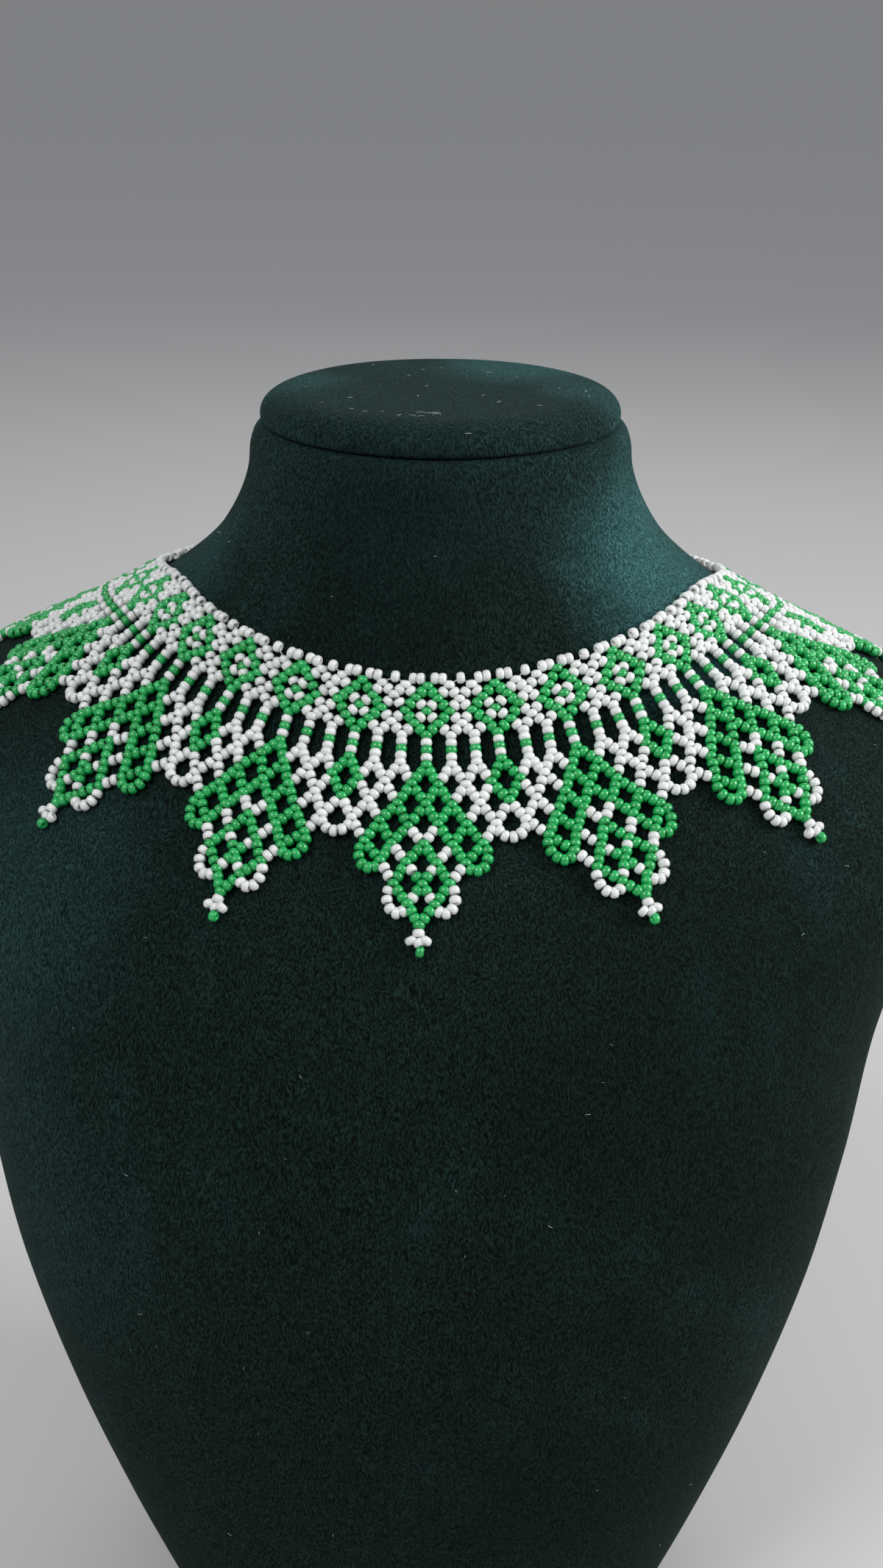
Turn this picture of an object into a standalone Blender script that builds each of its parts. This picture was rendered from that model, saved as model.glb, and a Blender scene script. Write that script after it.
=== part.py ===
# Bib necklace of netted seed beads, worn on a suede neck bust
# Metres, +Z up. The bust stands on z = 0, its neck's axis is the Z axis and its chest faces -Y.

from math import cos, hypot, pi, radians, sin, sqrt

import bmesh
import bpy
from mathutils import Matrix, Vector

# Driving dimensions of the bust
neck_rim_height = 0.345       # base to the top of the neck
neck_radius = 0.0515          # at the top of the neck
neck_rim_round = 0.003        # soft edge round the top of the neck
shoulder_half_width = 0.151   # neck axis to a shoulder's tip
chest_reach = 0.1405          # neck axis to the foremost point of the chest
back_reach = 0.080            # neck axis to the shoulder blades
waist_shift = 0.060           # how far forward the lower body's widest line lies
cap_radius = 0.0507           # suede-covered disc that closes the neck
cap_thickness = 0.0085
cap_edge_round = 0.0065       # of its top edge

# Driving dimensions of the necklace
peak_count = 13               # long green points round the whole collar
bead_diameter = 0.0030
bead_length = 0.0020          # along its hole
collar_height_share = 0.1215  # depth of the top edge below the rim, of the rim's height
collar_dip_share = 0.0328     # how much lower the top edge hangs in front, of the rim's height
collar_dip_power = 5.4        # how narrow that dip is
collar_fall_share = 0.027    # how much lower it lies behind the shoulders, of the rim's height
collar_fall_start = radians(65)
collar_fall_end = radians(115)
collar_turn = radians(3.95)   # the collar lies turned a little round the neck
clasp_room = 0.043            # of the top edge, left open at the back for the clasp and its tails
tail_length = 0.0095          # strands of beads that tie either end of the net to the clasp
clasp_diameter = 0.0042
clasp_ring_diameter = 0.0026
seat_gap = 0.0003             # between pieces that touch
surface_gap = 0.0010          # between the bust and what lies on its curved surface

# How fine the meshes are
bust_sides = 48
cap_sides = 48
bead_sides = 10
bead_rings = 6
clasp_sides = 12

# Sections of the bust from the rim down. Depth is a share of the rim's height. Width, front and
# back are shares of the way from the neck's radius to the shoulder, chest and back reaches.
# Middle is a share of the waist's shift, and square is the exponent of the rounded oval.
section_names = ("depth", "width", "front", "back", "middle", "square")
sections = (
    (0.000, 0.000, 0.000, 0.00, 0.00, 2.0),
    (0.043, 0.031, 0.045, 0.04, 0.00, 2.0),
    (0.087, 0.106, 0.128, 0.12, 0.00, 2.0),
    (0.130, 0.271, 0.204, 0.24, 0.00, 2.0),
    (0.159, 0.447, 0.255, 0.40, 0.00, 2.0),
    (0.188, 0.658, 0.326, 0.58, 0.00, 2.0),
    (0.217, 0.860, 0.425, 0.76, 0.00, 2.0),
    (0.246, 0.960, 0.532, 0.92, 0.00, 2.0),
    (0.275, 1.000, 0.656, 1.00, 0.05, 2.0),
    (0.319, 0.980, 0.785, 0.97, 0.17, 2.1),
    (0.377, 0.880, 0.894, 0.86, 0.37, 2.2),
    (0.449, 0.780, 0.961, 0.62, 0.62, 2.3),
    (0.536, 0.715, 1.000, 0.24, 0.83, 2.4),
    (0.638, 0.635, 0.990, -0.17, 0.97, 2.4),
    (0.754, 0.520, 0.950, -0.52, 1.00, 2.4),
    (0.870, 0.387, 0.880, -0.80, 0.97, 2.4),
    (1.000, 0.226, 0.770, -1.00, 0.90, 2.4),
)
rings_between_sections = 2

# The net's rows, in bead lengths below its first row of nodes
row_drop = dict(
    top=-1.6, slot_top=6.2, slot_bottom=11.1, picot_top=17.5, valley=20.8, tip=34.9,
    tail_top=-0.7, tail_bottom=0.7,
)
columns_per_peak = 6
column_share = 0.22           # half a column's width, as a share of the columns' spacing

# Outline of one long point below the valley: bead lengths down, and half width in columns
peak_outline = (
    (22.3, 2.66),
    (24.6, 2.40),
    (25.7, 1.80),
    (28.6, 1.42),
    (30.2, 0.90),
    (31.8, 0.25),
    (32.9, 0.42),
    (34.0, 0.24),
)
peak_lines = (-1.0, -0.64, -0.44, 0.44, 0.64, 1.0)  # shares of the half width
loop_bands = (1,)           # bands of the point whose side loops of beads stand open
loop_strips = (1, 3)

collection_name = "bib_necklace_on_bust"
colours = dict(
    suede=((0.012, 0.030, 0.027), 0.95, 0.0),
    glass_white=((0.80, 0.78, 0.72), 0.28, 0.0),
    glass_green=((0.02, 0.42, 0.16), 0.25, 0.0),
    brass=((0.72, 0.52, 0.20), 0.30, 1.0),
)


# Scene and materials

def clear_scene():
    for obj in list(bpy.data.objects):
        bpy.data.objects.remove(obj, do_unlink=True)


def new_collection(name):
    collection = bpy.data.collections.new(name)
    bpy.context.scene.collection.children.link(collection)
    return collection


def new_material(name, colour, roughness, metallic):
    material = bpy.data.materials.new(name)
    material.use_nodes = True
    shader = material.node_tree.nodes["Principled BSDF"]
    shader.inputs["Base Color"].default_value = (*colour, 1.0)
    shader.inputs["Roughness"].default_value = roughness
    shader.inputs["Metallic"].default_value = metallic
    return material


def new_object(name, mesh, finish):
    obj = bpy.data.objects.new(name, mesh)
    mesh.materials.append(new_material(name, *colours[finish]))
    parts.objects.link(obj)
    return obj


def mesh_from(bm, name, smooth_angle=radians(40)):
    """Faces of a closed shape are turned outwards. An open one keeps the side it was built with."""
    if all(edge.is_manifold for edge in bm.edges):
        bmesh.ops.recalc_face_normals(bm, faces=bm.faces)
    mesh = bpy.data.meshes.new(name)
    bm.to_mesh(mesh)
    bm.free()
    mesh.shade_smooth()
    mesh.set_sharp_from_angle(angle=smooth_angle)
    return mesh


# The bust's surface

def smooth_tables():
    """A monotone curve through each column of the section table, as slopes at its rows."""
    depths = [row[0] for row in sections]
    slopes = {}
    for column, name in enumerate(section_names[1:], start=1):
        values = [row[column] for row in sections]
        steps = [
            (values[i + 1] - values[i]) / (depths[i + 1] - depths[i])
            for i in range(len(values) - 1)
        ]
        inner = [
            0.0 if a * b <= 0 else 2 * a * b / (a + b)
            for a, b in zip(steps, steps[1:])
        ]
        slopes[name] = [steps[0]] + inner + [steps[-1]]
    return slopes


section_slopes = smooth_tables()


def section_value(name, share):
    column = section_names.index(name)
    share = min(max(share, 0.0), 1.0)
    i = 0
    while i < len(sections) - 2 and share > sections[i + 1][0]:
        i += 1
    width = sections[i + 1][0] - sections[i][0]
    t = (share - sections[i][0]) / width
    low, high = sections[i][column], sections[i + 1][column]
    slope_low, slope_high = section_slopes[name][i], section_slopes[name][i + 1]
    return (
        (1 + 2 * t) * (1 - t) ** 2 * low
        + t * (1 - t) ** 2 * width * slope_low
        + t * t * (3 - 2 * t) * high
        + t * t * (t - 1) * width * slope_high
    )


def section_at(depth):
    """Half width, front, back, middle and exponent of the bust's section at a depth."""
    share = depth / neck_rim_height
    half_width = neck_radius + (shoulder_half_width - neck_radius) * section_value("width", share)
    front = neck_radius + (chest_reach - neck_radius) * section_value("front", share)
    back = neck_radius + (back_reach - neck_radius) * section_value("back", share)
    middle = waist_shift * section_value("middle", share)
    return half_width, front, back, middle, section_value("square", share)


def section_point(depth, angle, inset=0.0):
    """A point of the section, at an angle round its own middle. Angle 0 is the front."""
    half_width, front, back, middle, square = section_at(depth)
    reach = front - middle if cos(angle) > 0 else back + middle
    x = (half_width - inset) * signed_power(sin(angle), 2 / square)
    y = (reach - inset) * signed_power(cos(angle), 2 / square)
    return Vector((x, -middle - y, neck_rim_height - depth))


def signed_power(value, power):
    return abs(value) ** power * (1 if value >= 0 else -1)


def surface_radius(azimuth, depth):
    """Distance from the neck's axis to the bust's surface, seen from the axis."""
    half_width, front, back, middle, square = section_at(depth)
    low, high = 0.0, 2 * max(half_width, front, back)
    for _ in range(30):
        radius = (low + high) / 2
        x = radius * sin(azimuth)
        y = radius * cos(azimuth) - middle
        reach = front - middle if y > 0 else back + middle
        inside = (abs(x) / half_width) ** square + (abs(y) / reach) ** square < 1
        low, high = (radius, high) if inside else (low, radius)
    return low


# The collar's grid on that surface

def top_edge_depth(azimuth):
    round_from_front = abs((azimuth - collar_turn + pi) % (2 * pi) - pi)
    dip = ((1 + cos(round_from_front)) / 2) ** collar_dip_power
    t = (round_from_front - collar_fall_start) / (collar_fall_end - collar_fall_start)
    t = min(max(t, 0.0), 1.0)
    fall = t * t * (3 - 2 * t)
    return neck_rim_height * (collar_height_share + collar_dip_share * dip + collar_fall_share * fall)


def edge_lengths(samples=360):
    """Azimuths all round the first row and its lengths, both ways from the collar's front."""
    azimuths = [collar_turn - pi + 2 * pi * i / samples for i in range(samples + 1)]
    points = [lifted_point(a, top_edge_depth(a), bead_diameter / 2) for a in azimuths]
    lengths = [0.0]
    for a, b in zip(points, points[1:]):
        lengths.append(lengths[-1] + (b - a).length)
    front = lengths[samples // 2]
    return azimuths, [length - front for length in lengths]


def interpolate(value, xs, ys):
    if value <= xs[0]:
        return ys[0]
    for i in range(len(xs) - 1):
        if value <= xs[i + 1]:
            return ys[i] + (ys[i + 1] - ys[i]) * (value - xs[i]) / (xs[i + 1] - xs[i])
    return ys[-1]


def lifted_point(azimuth, depth, lift):
    """A point at a height above the surface, along the surface's normal."""
    step = neck_rim_height * 0.002
    here = surface_place(azimuth, depth)
    down = surface_place(azimuth, depth + step) - surface_place(azimuth, depth - step)
    across = surface_place(azimuth + 0.01, depth) - surface_place(azimuth - 0.01, depth)
    return here + down.cross(across).normalized() * lift


def surface_place(azimuth, depth):
    radius = surface_radius(azimuth, depth)
    return Vector((radius * sin(azimuth), -radius * cos(azimuth), neck_rim_height - depth))


def meridian(azimuth, steps=60):
    """Depths and lengths from just above the first row down to below the longest tip."""
    start = top_edge_depth(azimuth) + row_drop["top"] * bead_length * 1.5
    longest = (row_drop["tip"] - row_drop["top"]) * bead_length * 1.4
    depths = [start + longest * i / steps for i in range(steps + 1)]
    radii = [surface_radius(azimuth, depth) for depth in depths]
    lengths = [0.0]
    for i in range(steps):
        lengths.append(lengths[-1] + hypot(depths[i + 1] - depths[i], radii[i + 1] - radii[i]))
    zero = interpolate(top_edge_depth(azimuth), depths, lengths)
    return depths, [length - zero for length in lengths]


class Collar:
    """Places on the collar by column, counted from the front peak, and bead lengths down."""

    def __init__(self):
        self.columns = peak_count * columns_per_peak
        self.azimuths, self.lengths = edge_lengths()
        self.spacing = (self.lengths[-1] - self.lengths[0] - clasp_room) / self.columns
        self.edge = self.columns // 2 + column_share
        self.tail_end = self.edge + tail_length / self.spacing
        self.meridians = {}

    def azimuth(self, column):
        return interpolate(column * self.spacing, self.lengths, self.azimuths)

    def point(self, column, drop, lift):
        azimuth = self.azimuth(column)
        key = round(column, 4)
        if key not in self.meridians:
            self.meridians[key] = meridian(azimuth)
        depths, lengths = self.meridians[key]
        depth = interpolate(drop * bead_length, lengths, depths)
        return lifted_point(azimuth, depth, lift)


# Pieces of the bust

def section_depths():
    """Depths of the loft's rings: the rim's soft edge, then the sections and rings between."""
    rim = [neck_rim_round * (1 - cos(pi / 2 * i / 3)) for i in range(1, 4)]
    depths = []
    for a, b in zip(sections, sections[1:]):
        for i in range(rings_between_sections):
            depth = neck_rim_height * (a[0] + (b[0] - a[0]) * i / rings_between_sections)
            if depth > rim[-1] * 1.3:
                depths.append(depth)
    return rim, depths + [neck_rim_height * sections[-1][0]]


def make_bust_body():
    bm = bmesh.new()
    rim, depths = section_depths()
    rings = [(0.0, neck_rim_round)]
    for depth in rim:
        rings.append((depth, neck_rim_round - sqrt(depth * (2 * neck_rim_round - depth))))
    rings += [(depth, 0.0) for depth in depths]
    loops = []
    for depth, inset in rings:
        loop = []
        for i in range(bust_sides):
            angle = 2 * pi * (i + 0.5) / bust_sides
            loop.append(bm.verts.new(section_point(depth, angle, inset)))
        loops.append(loop)
    for upper, lower in zip(loops, loops[1:]):
        for i in range(bust_sides):
            j = (i + 1) % bust_sides
            bm.faces.new((upper[i], upper[j], lower[j], lower[i]))
    bm.faces.new(loops[0])
    bm.faces.new(loops[-1])
    return new_object("bust_body", mesh_from(bm, "bust_body"), "suede")


def make_neck_cap():
    bm = bmesh.new()
    height = neck_rim_height + seat_gap + cap_thickness / 2
    bmesh.ops.create_cone(
        bm, cap_ends=True, segments=cap_sides, radius1=cap_radius, radius2=cap_radius, depth=cap_thickness
    )
    top_edge = [edge for edge in bm.edges if all(vert.co.z > 0 for vert in edge.verts)]
    bmesh.ops.bevel(
        bm, geom=top_edge, offset=cap_edge_round, segments=4, profile=0.5, affect="EDGES"
    )
    bmesh.ops.translate(bm, verts=bm.verts, vec=(0, 0, height))
    return new_object("neck_cap", mesh_from(bm, "neck_cap"), "suede")


# Pieces of the necklace

def column_lines(half_columns):
    """Places across the collar: each column of beads has a line on either side."""
    lines = []
    for column in range(-half_columns, half_columns + 1):
        lines += [column - column_share, column + column_share]
    return lines


def add_band(bm, upper, lower, keep):
    for i in range(len(lower) - 1):
        if keep(i):
            bm.faces.new((upper[i], lower[i], lower[i + 1], upper[i + 1]))


def make_collar_net(collar):
    """A shell on the bust, open between the columns of beads and in the loops of its points."""
    bm = bmesh.new()
    half_columns = collar.columns // 2
    lines = column_lines(half_columns)
    drops = [row_drop[name] for name in ("top", "slot_top", "slot_bottom", "picot_top", "valley")]
    drops.insert(1, (row_drop["top"] + row_drop["slot_top"]) / 2)
    rows = [
        [bm.verts.new(collar.point(line, drop, surface_gap)) for line in lines] for drop in drops
    ]
    slot_band, picot_band = 2, 4
    leaf = columns_per_peak // 2

    def keep_slot(i):
        return i % 2 == 0

    def keep_picot(i):
        column = i // 2 - half_columns
        at_leaf = i % 2 == 0 and column % columns_per_peak == leaf
        return not at_leaf or abs(column) == half_columns

    for band, (upper, lower) in enumerate(zip(rows, rows[1:])):
        keep = {slot_band: keep_slot, picot_band: keep_picot}.get(band, lambda i: True)
        add_band(bm, upper, lower, keep)
    for number in range(peak_count):
        centre = (number - peak_count // 2) * columns_per_peak
        add_peak(bm, collar, rows[-1], lines, centre)
    for side in (-1, 1):
        add_tail(bm, collar, [row[0 if side < 0 else -1] for row in rows[:2]], side)
    unused = [vert for vert in bm.verts if not vert.link_faces]
    bmesh.ops.delete(bm, geom=unused, context="VERTS")
    net = new_object("collar_net", mesh_from(bm, "collar_net"), "glass_white")
    wall = net.modifiers.new("beads", "SOLIDIFY")
    wall.thickness = bead_diameter * 0.9
    wall.offset = 1.0
    return net


def add_tail(bm, collar, start, side, steps=2):
    """A strand of beads that carries the net's top corner on to the clasp."""
    strip = [start]
    for i in range(1, steps + 1):
        column = side * (collar.edge + (collar.tail_end - collar.edge) * i / steps)
        strip.append([
            bm.verts.new(collar.point(column, row_drop[name], surface_gap))
            for name in ("tail_top", "tail_bottom")
        ])
    if side < 0:
        strip.reverse()
    upper, lower = zip(*strip)
    add_band(bm, upper, lower, lambda i: True)


def add_peak(bm, collar, valley_row, lines, centre):
    """One long point, hung from the valley's line, with its side loops open."""
    reach = columns_per_peak // 2 - column_share
    inside = [i for i, line in enumerate(lines) if abs(line - centre) < reach + 1e-6]
    top = [valley_row[i] for i in inside]
    wanted = [centre + reach * share for share in peak_lines]
    marks = [min(range(len(inside)), key=lambda i: abs(lines[inside[i]] - line)) for line in wanted]
    rows = []
    for drop, half_width in peak_outline:
        rows.append([
            bm.verts.new(collar.point(centre + half_width * share, drop, surface_gap))
            for share in peak_lines
        ])
    for strip in range(len(peak_lines) - 1):
        above = top[marks[strip]:marks[strip + 1] + 1]
        bm.faces.new([rows[0][strip], rows[0][strip + 1]] + above[::-1])
    for band, (upper, lower) in enumerate(zip(rows, rows[1:]), start=1):
        loops_here = band in loop_bands
        add_band(bm, upper, lower, lambda i: not (loops_here and i in loop_strips))


def make_tip_bead(collar, number):
    """The end bead of one point, its hole lying sideways across the tip."""
    column = (number - peak_count // 2) * columns_per_peak
    lift = surface_gap + bead_diameter / 2
    place = collar.point(column, row_drop["tip"], lift)
    bm = bmesh.new()
    bmesh.ops.create_uvsphere(bm, u_segments=bead_sides, v_segments=bead_rings, radius=bead_diameter / 2)
    bmesh.ops.scale(bm, verts=bm.verts, vec=(1, 1, bead_length / bead_diameter))
    sides = [collar.point(column + shift, row_drop["tip"], lift) for shift in (-0.1, 0.1)]
    across = sides[1] - sides[0]
    turn = across.to_track_quat("Z", "Y").to_matrix().to_4x4()
    bmesh.ops.transform(bm, verts=bm.verts, matrix=Matrix.Translation(place) @ turn)
    name = f"tip_bead_{number + 1:02d}"
    return new_object(name, mesh_from(bm, name), "glass_green")


def make_clasp(collar):
    """A barrel clasp with a ring at each end, between the top corners of the net at the back."""
    edge = collar.tail_end
    ends = [collar.point(side * edge, 0.0, surface_gap + clasp_diameter / 2) for side in (-1, 1)]
    length = (ends[1] - ends[0]).length - 2 * seat_gap
    back = (collar.azimuth(-edge) + collar.azimuth(edge)) / 2 + pi
    middle = lifted_point(back, top_edge_depth(back), surface_gap + clasp_diameter / 2)
    ring = clasp_ring_diameter / 2
    body = clasp_diameter / 2
    neck = length * 0.30
    profile = (
        (0.0, -length / 2), (ring, -length / 2), (ring, -length / 2 + ring),
        (ring * 0.7, -neck - ring * 0.6), (body * 0.8, -neck), (body, -neck + body * 0.4),
        (body, -body * 0.12), (body * 0.9, 0.0), (body, body * 0.12),
        (body, neck - body * 0.4), (body * 0.8, neck), (ring * 0.7, neck + ring * 0.6),
        (ring, length / 2 - ring), (ring, length / 2), (0.0, length / 2),
    )
    bm = bmesh.new()
    verts = [bm.verts.new((radius, 0.0, height)) for radius, height in profile]
    for a, b in zip(verts, verts[1:]):
        bm.edges.new((a, b))
    bmesh.ops.spin(
        bm, geom=bm.verts[:] + bm.edges[:], cent=(0, 0, 0), axis=(0, 0, 1),
        angle=2 * pi, steps=clasp_sides, use_merge=True,
    )
    bmesh.ops.remove_doubles(bm, verts=bm.verts, dist=1e-6)
    along = (ends[1] - ends[0]).to_track_quat("Z", "Y").to_matrix().to_4x4()
    bmesh.ops.transform(bm, verts=bm.verts, matrix=Matrix.Translation(middle) @ along)
    return new_object("clasp", mesh_from(bm, "clasp"), "brass")


clear_scene()
parts = new_collection(collection_name)
make_bust_body()
make_neck_cap()
collar_places = Collar()
make_collar_net(collar_places)
for tip in range(peak_count):
    make_tip_bead(collar_places, tip)
make_clasp(collar_places)
print(f"columns {collar_places.columns}, spacing {collar_places.spacing * 1000:.2f} mm")
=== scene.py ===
# A netted bead collar on its suede neck bust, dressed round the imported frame
from math import cos, pi, radians, sin

import bmesh
import bpy
import numpy as np
from mathutils import Matrix, Vector


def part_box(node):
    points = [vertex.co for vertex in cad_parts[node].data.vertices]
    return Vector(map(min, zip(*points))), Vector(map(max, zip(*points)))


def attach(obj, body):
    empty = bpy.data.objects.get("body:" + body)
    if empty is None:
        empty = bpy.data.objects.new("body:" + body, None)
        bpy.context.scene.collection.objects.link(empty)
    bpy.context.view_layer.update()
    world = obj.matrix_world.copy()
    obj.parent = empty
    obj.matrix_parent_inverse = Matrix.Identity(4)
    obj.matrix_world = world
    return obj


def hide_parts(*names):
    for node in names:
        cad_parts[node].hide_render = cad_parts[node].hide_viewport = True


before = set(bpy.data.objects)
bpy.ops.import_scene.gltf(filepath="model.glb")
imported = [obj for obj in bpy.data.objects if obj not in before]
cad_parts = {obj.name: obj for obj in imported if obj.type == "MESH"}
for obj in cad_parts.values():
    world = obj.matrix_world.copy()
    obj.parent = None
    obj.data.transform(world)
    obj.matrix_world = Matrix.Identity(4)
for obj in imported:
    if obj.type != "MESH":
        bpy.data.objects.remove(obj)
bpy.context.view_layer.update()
scene = bpy.context.scene
chance = np.random.default_rng(11)


# Node trees and sockets

class Socket:
    def __init__(self, graph, socket):
        self.graph = graph
        self.socket = socket

    def maths(self, operation, first, second):
        return self.graph.node("ShaderNodeMath", dict(operation=operation), {0: first, 1: second})

    def __add__(self, other):
        return self.maths("ADD", self, other)

    def __radd__(self, other):
        return self.maths("ADD", other, self)

    def __sub__(self, other):
        return self.maths("SUBTRACT", self, other)

    def __rsub__(self, other):
        return self.maths("SUBTRACT", other, self)

    def __mul__(self, other):
        return self.maths("MULTIPLY", self, other)

    def __rmul__(self, other):
        return self.maths("MULTIPLY", other, self)

    def __truediv__(self, other):
        return self.maths("DIVIDE", self, other)

    def within(self, low, high):  # 0 below low, 1 above high, smooth between
        settings = dict(interpolation_type="SMOOTHSTEP")
        return self.graph.node("ShaderNodeMapRange", settings, {0: self, 1: low, 2: high})


class Graph:
    def __init__(self, tree):
        self.tree = tree

    def node(self, kind, settings=None, sockets=None, output=0):
        made = self.tree.nodes.new(kind)
        for name, value in (settings or {}).items():
            setattr(made, name, value)
        for name, value in (sockets or {}).items():
            if isinstance(value, Socket):
                self.tree.links.new(value.socket, made.inputs[name])
            else:
                made.inputs[name].default_value = value
        return Socket(self, made.outputs[output])

    def mix(self, factor, first, second):
        settings = dict(data_type="RGBA")
        return self.node("ShaderNodeMix", settings, {0: factor, 6: first, 7: second}, output=2)

    def noise(self, vector, scale, detail=2.0, roughness=0.5, output=0):
        sockets = {"Vector": vector, "Scale": scale, "Detail": detail, "Roughness": roughness}
        return self.node("ShaderNodeTexNoise", None, sockets, output)

    def stretch(self, vector, shares):
        return self.node("ShaderNodeVectorMath", dict(operation="MULTIPLY"), {0: vector, 1: shares})

    def place(self):  # Object coordinates
        return self.node("ShaderNodeTexCoord", output=3)

    def random(self, low, high, seed):
        settings = dict(data_type="FLOAT")
        return self.node("FunctionNodeRandomValue", settings, {2: low, 3: high, "Seed": seed}, output=1)


def newFinish(name):
    finish = bpy.data.materials.new(name)
    finish.use_nodes = True
    graph = Graph(finish.node_tree)
    return finish, graph, finish.node_tree.nodes["Principled BSDF"]


def feed(graph, shader, name, value):
    if isinstance(value, Socket):
        graph.tree.links.new(value.socket, shader.inputs[name])
    else:
        shader.inputs[name].default_value = value


# Finishes

suedeLook = dict(
    deep=(0.0006, 0.0026, 0.0019, 1), middle=(0.0105, 0.0270, 0.0215, 1),
    # teal and the pale colour after it serve both the brushing patches and the painted light spots
    teal=(0.0110, 0.0440, 0.0430, 1), brushedAndPaintedLight=(0.0560, 0.1600, 0.1620, 1),
    strokeWidth=0.00040, strokeLength=0.0013, strokeFlatness=0.6, napRange=(0.37, 0.67),
    driftSize=0.009, driftReach=0.0060, grainScale=4200.0, patchSize=0.060,
    sweptScale=34.0, sweptStretch=0.35, brushedRange=(0.52, 0.80), patchShare=0.10, sweptShare=0.08,
    spotRange=(0.30, 1.05), spotRagged=0.9,
    roughness=0.82, roughnessSpread=0.16,
    reliefDepth=0.00034, reliefStrength=0.75, napRelief=0.7, grainRelief=0.3,
    sheen=0.02, sheenRoughness=0.35, sheenTint=(0.34, 0.62, 0.60, 1), specular=0.08,
)
# pale spots of painted light (on the neck and cap partly real brushing too), and darker spots of painted
# shade:
# middle, reach, strength
paintedLightSpots = (
    ((0.072, -0.022, 0.314), 0.052, 0.95),
    ((0.018, 0.036, 0.3536), 0.032, 0.55),
    ((0.0, 0.0, 0.3536), 0.090, 0.14),
    ((0.046, 0.000, 0.3536), 0.022, 0.35),
    ((-0.046, 0.004, 0.3536), 0.026, 0.30),
    ((-0.075, -0.020, 0.305), 0.034, 0.30),
    ((-0.115, -0.100, 0.235), 0.060, 0.22),
    ((-0.110, -0.120, 0.150), 0.070, 0.12),
)
# spots of painted shade
paintedShadeSpots = (
    ((-0.004, -0.058, 0.318), 0.046, 0.50),
    ((0.095, -0.125, 0.200), 0.095, 0.40),
    ((0.060, -0.140, 0.080), 0.090, 0.30),
)
glassLook = dict(
    white=((0.78, 0.80, 0.78, 1), (0.65, 0.66, 0.65, 1)),
    green=((0.008, 0.42, 0.098, 1), (0.003, 0.29, 0.054, 1)),
    toneShare=0.65, cloudShare=0.35, cloudScale=900.0, cloudRange=(0.35, 0.75),
    roughness=0.30, roughnessSpread=0.10, coat=0.60, coatRoughness=0.08,
    glow=0.22, glowScale=0.0008, glowRadius=(1.0, 1.0, 1.0),
)
brassLook = dict(
    polished=(0.78, 0.57, 0.24, 1), worn=(0.60, 0.40, 0.15, 1),
    wearScale=700.0, wearRange=(0.4, 0.7), roughness=0.20, roughnessSpread=0.22,
)
fibreLook = dict(
    nylon=((0.74, 0.74, 0.70, 1), (0.50, 0.50, 0.47, 1)),
    lint=((0.66, 0.72, 0.70, 1), (0.42, 0.46, 0.45, 1)),
    fuzzScale=5000.0, roughness=0.35, roughnessSpread=0.2,
)


def spotAround(graph, place, patches, middle, reach):  # 1 at the middle, 0 beyond a ragged edge
    look = suedeLook
    away = graph.node("ShaderNodeVectorMath", dict(operation="DISTANCE"), {0: place, 1: middle}, output=1)
    ragged = away / reach + (patches - 0.5) * look["spotRagged"]
    return 1.0 - ragged.within(*look["spotRange"])


def suedeFinish():
    look = suedeLook
    finish, graph, shader = newFinish("suede")
    place = graph.place()
    drift = graph.noise(place, 1 / look["driftSize"], 2.0, 0.5, output=1)
    reach = (look["driftReach"],) * 3
    drift = graph.node("ShaderNodeVectorMath", dict(operation="MULTIPLY_ADD"), {0: drift, 1: reach, 2: place})
    across, along = 1 / look["strokeWidth"], 1 / look["strokeLength"]
    strokes = graph.stretch(drift, (across, across * look["strokeFlatness"], along))
    strokes = graph.noise(strokes, 1.0, 2.0, 0.6)
    grain = graph.noise(place, look["grainScale"], 2.0, 0.6)
    patches = graph.noise(place, 1 / look["patchSize"], 4.0, 0.65)
    swept = graph.noise(graph.stretch(place, (1.0, 1.0, look["sweptStretch"])), look["sweptScale"], 3.0, 0.5)
    brushedAndPaintedLight = patches.within(*look["brushedRange"]) * look["patchShare"]
    brushedAndPaintedLight = brushedAndPaintedLight + swept.within(*look["brushedRange"]) * look["sweptShare"]
    paintedShade = 0.0
    # pale spots of painted light, added to the brushing patches
    for middle, reach, strength in paintedLightSpots:
        brushedAndPaintedLight = brushedAndPaintedLight + spotAround(graph, place, patches, middle, reach) * strength
    # spots of painted shade, which darken the strokes
    for middle, reach, strength in paintedShadeSpots:
        paintedShade = paintedShade + spotAround(graph, place, patches, middle, reach) * strength
    napWithPaintedShade = strokes.within(*look["napRange"]) * (1.0 - paintedShade)
    base = graph.mix(brushedAndPaintedLight, look["deep"], look["teal"])
    lit = graph.mix(brushedAndPaintedLight, look["middle"], look["brushedAndPaintedLight"])
    feed(graph, shader, "Base Color", graph.mix(napWithPaintedShade, base, lit))
    feed(graph, shader, "Roughness", look["roughness"] + look["roughnessSpread"] * grain)
    relief = {
        "Strength": look["reliefStrength"], "Distance": look["reliefDepth"],
        "Height": napWithPaintedShade * look["napRelief"] + grain * look["grainRelief"],
    }
    feed(graph, shader, "Normal", graph.node("ShaderNodeBump", None, relief))
    feed(graph, shader, "Sheen Weight", look["sheen"])
    feed(graph, shader, "Sheen Roughness", look["sheenRoughness"])
    feed(graph, shader, "Sheen Tint", look["sheenTint"])
    feed(graph, shader, "Specular IOR Level", look["specular"])
    return finish


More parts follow.
